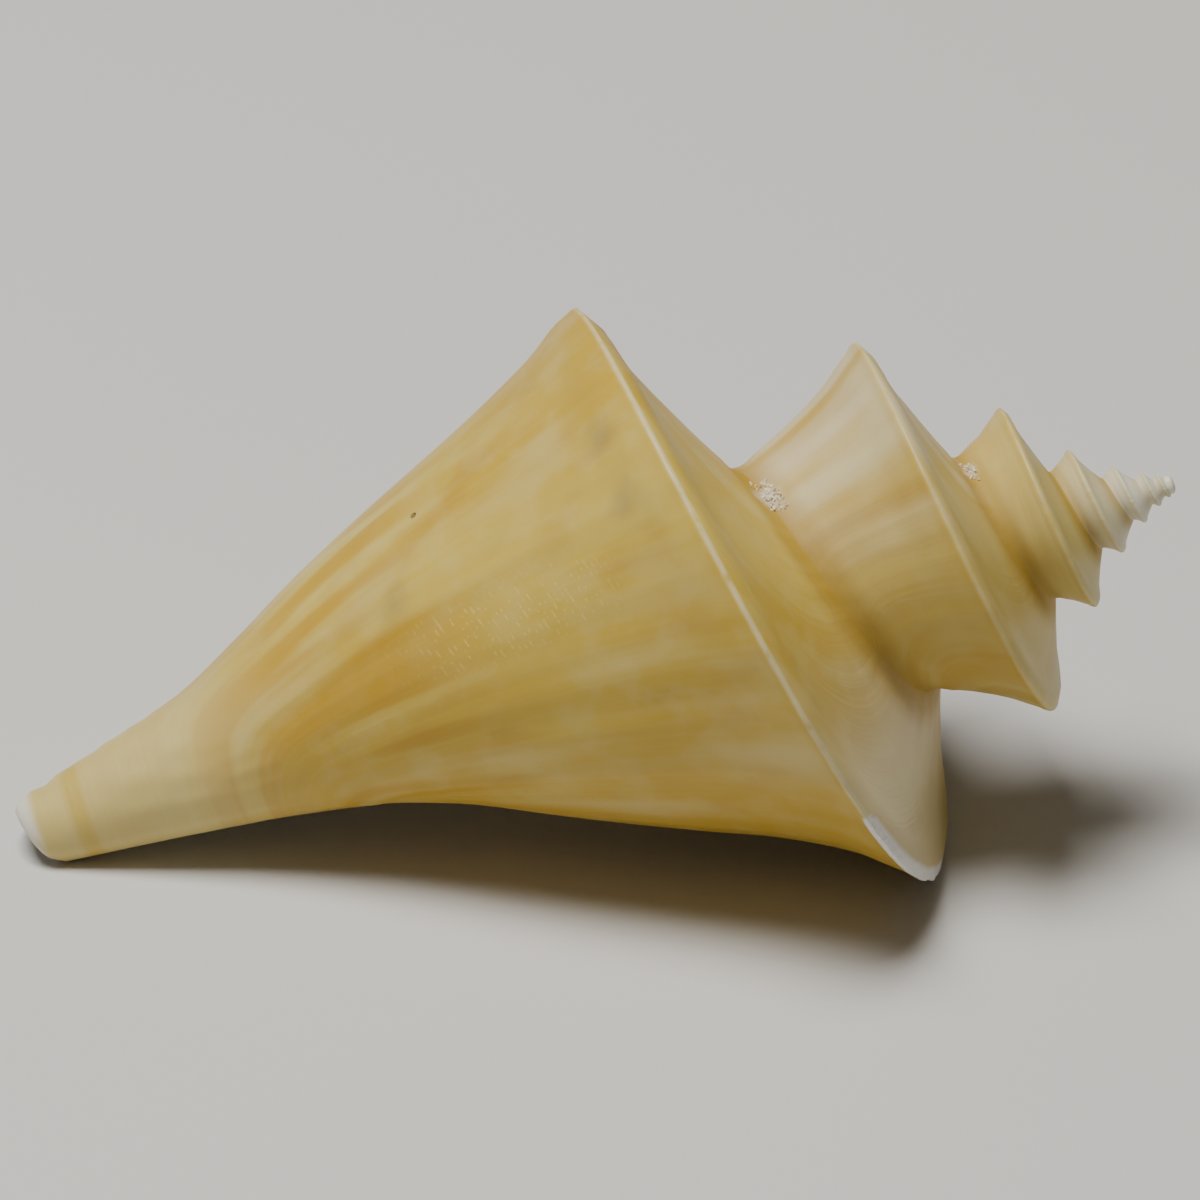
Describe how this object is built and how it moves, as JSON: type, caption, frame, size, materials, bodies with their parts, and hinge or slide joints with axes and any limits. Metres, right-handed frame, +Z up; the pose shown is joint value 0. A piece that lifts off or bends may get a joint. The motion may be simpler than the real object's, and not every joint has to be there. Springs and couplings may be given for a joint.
{
  "type": "japanese wonder shell",
  "caption": "Thin spiral sea shell with a sharp keel round each whorl and a long open canal, lying on its side with the mouth down.",
  "frame": {"origin": "centre of the shell's bounding box, on the surface it rests on", "axes": "+Z up, +X along the shell from the canal's end towards the apex, +Y towards the outer lip"},
  "size_m": [0.087, 0.0518, 0.0412],
  "materials": {
    "shell": "satin"
  },
  "bodies": {
    "root": {"shell": "shell"}
  },
  "joints": []
}
